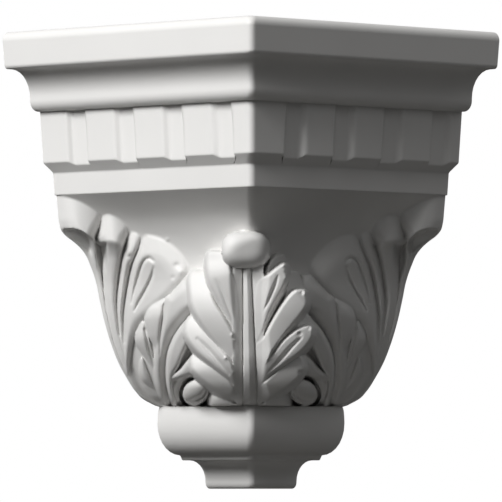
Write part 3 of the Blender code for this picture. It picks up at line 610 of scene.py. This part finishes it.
def quarter(start, end, level_first=False):
    """Points of a quarter ellipse from start to end, both (projection, height), without its start.

    It leaves its start upright, or with level_first it does so level.
    """
    (p0, z0), (p1, z1) = start, end
    points = []
    for k in range(1, ARC_STEPS + 1):
        angle = pi / 2 * k / ARC_STEPS
        if level_first:
            points.append((p0 + (p1 - p0) * sin(angle), z0 + (z1 - z0) * (1 - cos(angle))))
        else:
            points.append((p0 + (p1 - p0) * (1 - cos(angle)), z0 + (z1 - z0) * sin(angle)))
    return points


def soften(points):
    """Rounds the sharp corners of a profile and puts a row close to each end of its long flats."""
    points = [Vector(point) for point in points]
    soft = [points[0]]
    for a, b, c in zip(points, points[1:], points[2:]):
        back, on = (a - b), (c - b)
        if pi - back.angle(on) < radians(CURVE_TURN):
            soft.append(b)
            continue
        reach = min(EDGE_ROUND, back.length * EDGE_SHARE, on.length * EDGE_SHARE)
        start, end = b + back.normalized() * reach, b + on.normalized() * reach
        soft += [start, (start + 2 * b + end) / 4, end]
    soft.append(points[-1])
    held = [soft[0]]
    for a, b in zip(soft, soft[1:]):
        step = b - a
        if step.length > LONG_FLAT:
            held += [a + step.normalized() * HOLD, b - step.normalized() * HOLD]
        held.append(b)
    return [tuple(point) for point in held]


def upper_profile():
    """From the ceiling to the soffit over the dentils."""
    z = 0.0
    points = [(FASCIA_OUT - FASCIA_TOP_ROUND, z)]
    points += quarter(points[-1], (FASCIA_OUT, z - FASCIA_TOP_ROUND), level_first=True)
    z -= FASCIA_HEIGHT
    face = FASCIA_OUT - FASCIA_BATTER
    points.append((face, z + FASCIA_FOOT_ROUND))
    points += quarter(points[-1], (face - FASCIA_FOOT_ROUND, z))
    points.append((COVE_TOP_OUT, z))
    z -= COVE_HEIGHT
    points += quarter(points[-1], (COVE_OUT, z), level_first=True)
    z -= NOSE_HEIGHT
    points.append((COVE_OUT, z + NOSE_ROUND))
    points += quarter(points[-1], (COVE_OUT - NOSE_ROUND, z))
    return points


def lower_profile(top):
    """From the torus's shoulder, under the carved band's foot at height top, to the block's foot."""
    z = top - TORUS_HEIGHT
    points = [(SHOULDER_OUT, top - SHOULDER_DROP)]
    points += quarter(points[-1], (TORUS_OUT, z + TORUS_CROWN), level_first=True)
    points += quarter(points[-1], (LIST_OUT, z))
    z -= LIST_HEIGHT
    points += [(LIST_OUT - LIST_BATTER, z), (FOOT_COVE_OUT, z)]
    z -= FOOT_COVE_HEIGHT
    points += quarter(points[-1], (FOOT_OUT, z), level_first=True)
    points.append((FOOT_OUT, -HEIGHT + FOOT_ROUND))
    points += quarter(points[-1], (FOOT_OUT - FOOT_ROUND, -HEIGHT))
    return points


def even_row(out, height):
    """A row of a plain member: its places from the front, projections and heights."""
    x = np.linspace(-1, 1, COLUMNS + 1) * (WALL_LEG + out) / sqrt(2)
    return x, out + rounded_arris(x), np.full(x.shape, height)


def dentil_plan(reach, out):
    """Places along a leg and the depth behind the dentils' front, from the mitre to the square cut."""
    line = [(-out, 0.0)]
    edge = reach - (DENTIL_OUT - DENTIL_BATTER / 2)
    while edge < WALL_LEG:
        front = edge + DENTIL_PITCH - DENTIL_WIDTH
        line += [(edge, 0), (edge, DENTIL_DEPTH), (front - DENTIL_SPLAY, DENTIL_DEPTH), (front, 0)]
        edge += DENTIL_PITCH
    line = [point for point in line if point[0] < WALL_LEG]
    line.append((WALL_LEG, line[-1][1]))
    along, depth = np.array(line).T
    way = np.concatenate([[0], np.cumsum(np.hypot(np.diff(along), np.diff(depth)))])
    columns = np.round(way / way[-1] * COLUMNS / 2)
    every = np.arange(COLUMNS // 2 + 1)
    along, depth = np.interp(every, columns, along), np.interp(every, columns, depth)
    for values in (along, depth):       # rounds the dentils' edges by a column
        values[1:-1] = values[:-2] / 4 + values[1:-1] / 2 + values[2:] / 4
    return along, depth


def dentil_row(out, height, drop):
    """A row of the dentil band. The ground between dentils lies deeper, and lower by drop times that."""
    rows = []
    for leg, reach in ((-1, CORNER_DENTIL_B), (1, CORNER_DENTIL_A)):
        along, depth = dentil_plan(reach, out)
        x = leg * (along + out - depth) / sqrt(2)
        rows.append((x, out - depth + rounded_arris(x), height - drop * depth))
    left, right = rows
    return tuple(np.concatenate([a[:0:-1], b]) for a, b in zip(left, right))


def dentil_rows(top):
    """The dentils from their top to the rounded edge of their foot, and the place where that edge ends."""
    face_foot = DENTIL_OUT - DENTIL_BATTER
    slope = DENTIL_FOOT_HEIGHT / (face_foot - FILLET_OUT)
    edge = Vector((face_foot, top - DENTIL_HEIGHT))
    face = edge + Vector((0, EDGE_ROUND))
    under = edge + Vector((-1, -slope)).normalized() * EDGE_ROUND
    rows = [dentil_row(DENTIL_OUT, top, 0), dentil_row(DENTIL_OUT - HOLD_BATTER, top - HOLD, 0),
            dentil_row(face_foot, face.y + HOLD, slope)]
    for point in (face, (face + 2 * edge + under) / 4, under):
        rows.append(dentil_row(point.x, point.y, slope))
    return rows, under


def band_rows(top):
    """The carved band, from height top down."""
    levels = np.linspace(100, 0, BAND_ROWS + 1)
    x = np.linspace(-1, 1, COLUMNS + 1) * (WALL_LEG + read_rows(levels, END_OUTLINE)[:, None]) / sqrt(2)
    out = carved_out(x, np.repeat(levels[:, None], COLUMNS + 1, axis=1))
    heights = top - (100 - levels) * UNIT
    return [(x[k], out[k], np.full(COLUMNS + 1, height)) for k, height in enumerate(heights)]


def face_rows():
    """Every row of the block's face, from the ceiling to the foot."""
    dentil_top = -(FASCIA_HEIGHT + COVE_HEIGHT + NOSE_HEIGHT)
    fillet_top = dentil_top - DENTIL_HEIGHT - DENTIL_FOOT_HEIGHT
    band_top = fillet_top - FILLET_HEIGHT
    rows = [even_row(*point) for point in soften(upper_profile())]
    dentils, under = dentil_rows(dentil_top)
    rows += dentils
    fillet = [under, (FILLET_OUT, fillet_top), (FILLET_OUT - FILLET_BATTER, band_top),
              (END_OUTLINE[-1][1], band_top)]
    rows += [even_row(*point) for point in soften(fillet)[3:]]      # without the dentils' sloping foot
    rows += band_rows(band_top)
    rows += [even_row(*point) for point in soften(lower_profile(band_top - BAND_HEIGHT))]
    return rows


def corner_block():
    """The whole casting: one net over its carved face, closed by flat faces behind it."""
    rows = face_rows()
    x, out, height = (np.array(part) for part in zip(*rows))
    along = sqrt(2) * np.abs(x) - out
    on_a = x > 0
    spot = np.stack([WALL + np.where(on_a, along, -out), WALL + np.where(on_a, -out, along), height],
                    axis=-1)
    bm = bmesh.new()
    bmesh.ops.create_grid(bm, x_segments=COLUMNS, y_segments=len(rows) - 1, size=0.5)
    for vert in bm.verts:
        column = round((vert.co.x + 0.5) * COLUMNS)
        row = round((0.5 - vert.co.y) * (len(rows) - 1))
        vert.co = Vector(spot[row, column]) * MM
    close_back(bm)
    bmesh.ops.remove_doubles(bm, verts=bm.verts, dist=MERGE_REACH)
    bmesh.ops.recalc_face_normals(bm, faces=bm.faces)
    return finish_piece(bm, "corner_block")


def close_back(bm):
    """The two square cuts, the faces on the walls, the bed against the ceiling and the foot."""
    wall, cut_end, foot = WALL * MM, (WALL + WALL_LEG) * MM, -HEIGHT * MM
    # The wall's corner and the back edges of the two cuts stand upright, each with an end at top and foot
    posts = []
    for x, y in ((cut_end, wall), (wall, wall), (wall, cut_end)):
        ends = [bm.verts.new((x, y, z)) for z in (0, foot)]
        posts.append(ends)
        bm.edges.new(ends)
    for first, second in zip(posts, posts[1:]):
        for a, b in zip(first, second):
            bm.edges.new((a, b))
    rim = [vert for vert in bm.verts if vert.is_boundary]
    for post, axis in ((posts[0], 0), (posts[2], 1)):
        column = [vert for vert in rim if abs(vert.co[axis] - cut_end) < ON_FACE]
        for vert, furthest in zip(post, (max, min)):
            bm.edges.new((vert, furthest(column, key=lambda item: item.co.z)))
    for axis, level in ((0, cut_end), (1, cut_end), (0, wall), (1, wall), (2, 0), (2, foot)):
        edges = [edge for edge in bm.edges if len(edge.link_faces) < 2
                 and all(abs(vert.co[axis] - level) < ON_FACE for vert in edge.verts)]
        bmesh.ops.contextual_create(bm, geom=edges, mat_nr=0, use_smooth=False)
    flats = [face for face in bm.faces if len(face.verts) > 4]
    bmesh.ops.triangulate(bm, faces=flats, quad_method="BEAUTY", ngon_method="BEAUTY")


def finish_piece(bm, name):
    """Makes the mesh an object at the origin, smooth between its sharp edges."""
    mesh = bpy.data.meshes.new(name)
    bm.to_mesh(mesh)
    bm.free()
    mesh.shade_smooth()
    mesh.set_sharp_from_angle(angle=radians(SHARP_DEGREES))
    piece = bpy.data.objects.new(name, mesh)
    bpy.context.scene.collection.objects.link(piece)
    return piece


def linear(hex_colour):
    """An sRGB hex colour as linear red, green, blue and 1."""
    channels = [int(hex_colour[k:k + 2], 16) / 255 for k in (1, 3, 5)]
    return tuple(c / 12.92 if c <= 0.04045 else ((c + 0.055) / 1.055) ** 2.4 for c in channels) + (1.0,)


def add_node(tree, kind, links=(), inputs=(), **settings):
    """Adds a node with its settings, its inputs' values and links into it."""
    node = tree.nodes.new(kind)
    for name, value in settings.items():
        setattr(node, name, value)
    for name, value in dict(inputs).items():
        node.inputs[name].default_value = value
    for name, source in dict(links).items():
        tree.links.new(source, node.inputs[name])
    return node


PRIMER_THIN = "#D4D3D1"
PRIMER_THICK = "#DAD9D7"
TONE_WIDTH = 30.0 * MM      # about how wide a thicker or thinner patch is
PEEL_WIDTH = 1.5 * MM       # and a bump of the orange peel
PEEL_DEPTH = 0.06 * MM


def primed_white():
    """Cast high-density polyurethane with a factory primer: an even, soft white without shine.

    The primer leaves a faint orange peel, and a slow change of tone where it is thicker.
    """
    material = bpy.data.materials.new("primed_cast_polyurethane")
    material.use_nodes = True
    tree = material.node_tree
    shader = tree.nodes["Principled BSDF"]
    shader.inputs["Roughness"].default_value = 0.55
    shader.inputs["IOR"].default_value = 1.46
    place = add_node(tree, "ShaderNodeTexCoord").outputs["Object"]
    tone = add_node(tree, "ShaderNodeTexNoise", {"Vector": place}, {"Scale": 1 / TONE_WIDTH, "Detail": 3.0})
    colour = add_node(tree, "ShaderNodeMix", {"Factor": tone.outputs["Fac"]}, data_type="RGBA")
    colour.inputs["A"].default_value = linear(PRIMER_THIN)
    colour.inputs["B"].default_value = linear(PRIMER_THICK)
    tree.links.new(colour.outputs["Result"], shader.inputs["Base Color"])
    peel = add_node(tree, "ShaderNodeTexNoise", {"Vector": place}, {"Scale": 1 / PEEL_WIDTH, "Detail": 2.0})
    bump = add_node(tree, "ShaderNodeBump", {"Height": peel.outputs["Fac"]},
                    {"Strength": 0.25, "Distance": PEEL_DEPTH})
    tree.links.new(bump.outputs["Normal"], shader.inputs["Normal"])
    return material


def floor_paint():
    """Matt wall paint for the studio's floor."""
    material = bpy.data.materials.new("matt_pale_floor")
    material.use_nodes = True
    shader = material.node_tree.nodes["Principled BSDF"]
    shader.inputs["Base Color"].default_value = linear("#E6E4E0")
    shader.inputs["Roughness"].default_value = 0.8
    return material


FLOOR_RADIUS = 1.1          # in metres
FLOOR_LEVEL = -2.2


def studio_floor():
    """A round floor a room's height below the ceiling, outside the camera's view."""
    bm = bmesh.new()
    bmesh.ops.create_circle(bm, cap_ends=True, segments=96, radius=FLOOR_RADIUS)
    bmesh.ops.translate(bm, verts=bm.verts, vec=(0, 0, FLOOR_LEVEL))
    floor = finish_piece(bm, "studio_floor")
    floor.data.materials.append(floor_paint())


# The camera stands on the block's diagonal and looks up a little
OUTWARD = Vector((-1, -1, 0)).normalized()
RIGHTWARD = Vector((1, -1, 0)).normalized()
CAMERA_DISTANCE = 2.8039    # from the walls' corner, in metres, as is its height from the ceiling
CAMERA_HEIGHT = -0.1825
PHOTO_SIZE = 502
FOCAL_PIXELS = 7000         # the focal length, in pixels of the photograph
HORIZON_BELOW_CENTRE = 249  # in its pixels too
SENSOR_MM = 36.0


def aim(item, direction):
    """Turns a light or the camera to look along a direction."""
    item.rotation_euler = direction.to_track_quat("-Z", "Y").to_euler()


def camera():
    """The scene's camera, at the photograph's viewing angle."""
    data = bpy.data.cameras.new("camera")
    data.sensor_width = SENSOR_MM
    data.lens = SENSOR_MM * FOCAL_PIXELS / PHOTO_SIZE
    item = bpy.data.objects.new("camera", data)
    item.location = Vector((WALL * MM, WALL * MM, CAMERA_HEIGHT)) + OUTWARD * CAMERA_DISTANCE
    aim(item, -OUTWARD + Vector((0, 0, HORIZON_BELOW_CENTRE / FOCAL_PIXELS)))
    bpy.context.scene.collection.objects.link(item)
    bpy.context.scene.camera = item


def soft_box(name, left_degrees, up_degrees, distance, size, watts, spread_degrees):
    """A square light at an angle to the left of the camera and up, aimed at the block's middle."""
    left, up = radians(left_degrees), radians(up_degrees)
    direction = (OUTWARD * cos(left) - RIGHTWARD * sin(left)) * cos(up) + Vector((0, 0, sin(up)))
    data = bpy.data.lights.new(name, "AREA")
    data.size = size
    data.energy = watts
    data.spread = radians(spread_degrees)
    item = bpy.data.objects.new(name, data)
    item.location = Vector((0, 0, -HEIGHT * MM / 2)) + direction * distance
    aim(item, -direction)
    bpy.context.scene.collection.objects.link(item)


WHITE = (1, 1, 1, 1)


def studio_light():
    """Light from the left and a little above, a weak fill from below, and a soft glow from overhead.

    Behind the block the camera sees a plain white backdrop, which throws no light on it.
    """
    soft_box("key_light", left_degrees=43, up_degrees=27, distance=1.6, size=0.7, watts=4.05,
             spread_degrees=60)
    soft_box("low_fill", left_degrees=0, up_degrees=-28, distance=1.6, size=1.2, watts=0.25,
             spread_degrees=120)
    world = bpy.data.worlds.new("studio")
    world.use_nodes = True
    tree = world.node_tree
    backdrop = tree.nodes["Background"]
    backdrop.inputs["Color"].default_value = WHITE
    direction = add_node(tree, "ShaderNodeTexCoord").outputs["Generated"]
    upwards = add_node(tree, "ShaderNodeSeparateXYZ", {"Vector": direction}).outputs["Z"]
    glow = add_node(tree, "ShaderNodeMapRange", {"Value": upwards},
                    {"From Min": -0.25, "From Max": 1.0, "To Min": 0.0, "To Max": 0.56}).outputs["Result"]
    room = add_node(tree, "ShaderNodeBackground", {"Strength": glow}, {"Color": WHITE})
    seen = add_node(tree, "ShaderNodeLightPath").outputs["Is Camera Ray"]
    mixed = add_node(tree, "ShaderNodeMixShader", {"Fac": seen})
    tree.links.new(room.outputs[0], mixed.inputs[1])
    tree.links.new(backdrop.outputs[0], mixed.inputs[2])
    tree.links.new(mixed.outputs[0], tree.nodes["World Output"].inputs["Surface"])
    bpy.context.scene.world = world
    bpy.context.scene.view_settings.view_transform = "Standard"


block = corner_block()
block.data.materials.append(primed_white())
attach(block, "root")
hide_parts("outside_corner_moulding")
studio_floor()
camera()
studio_light()
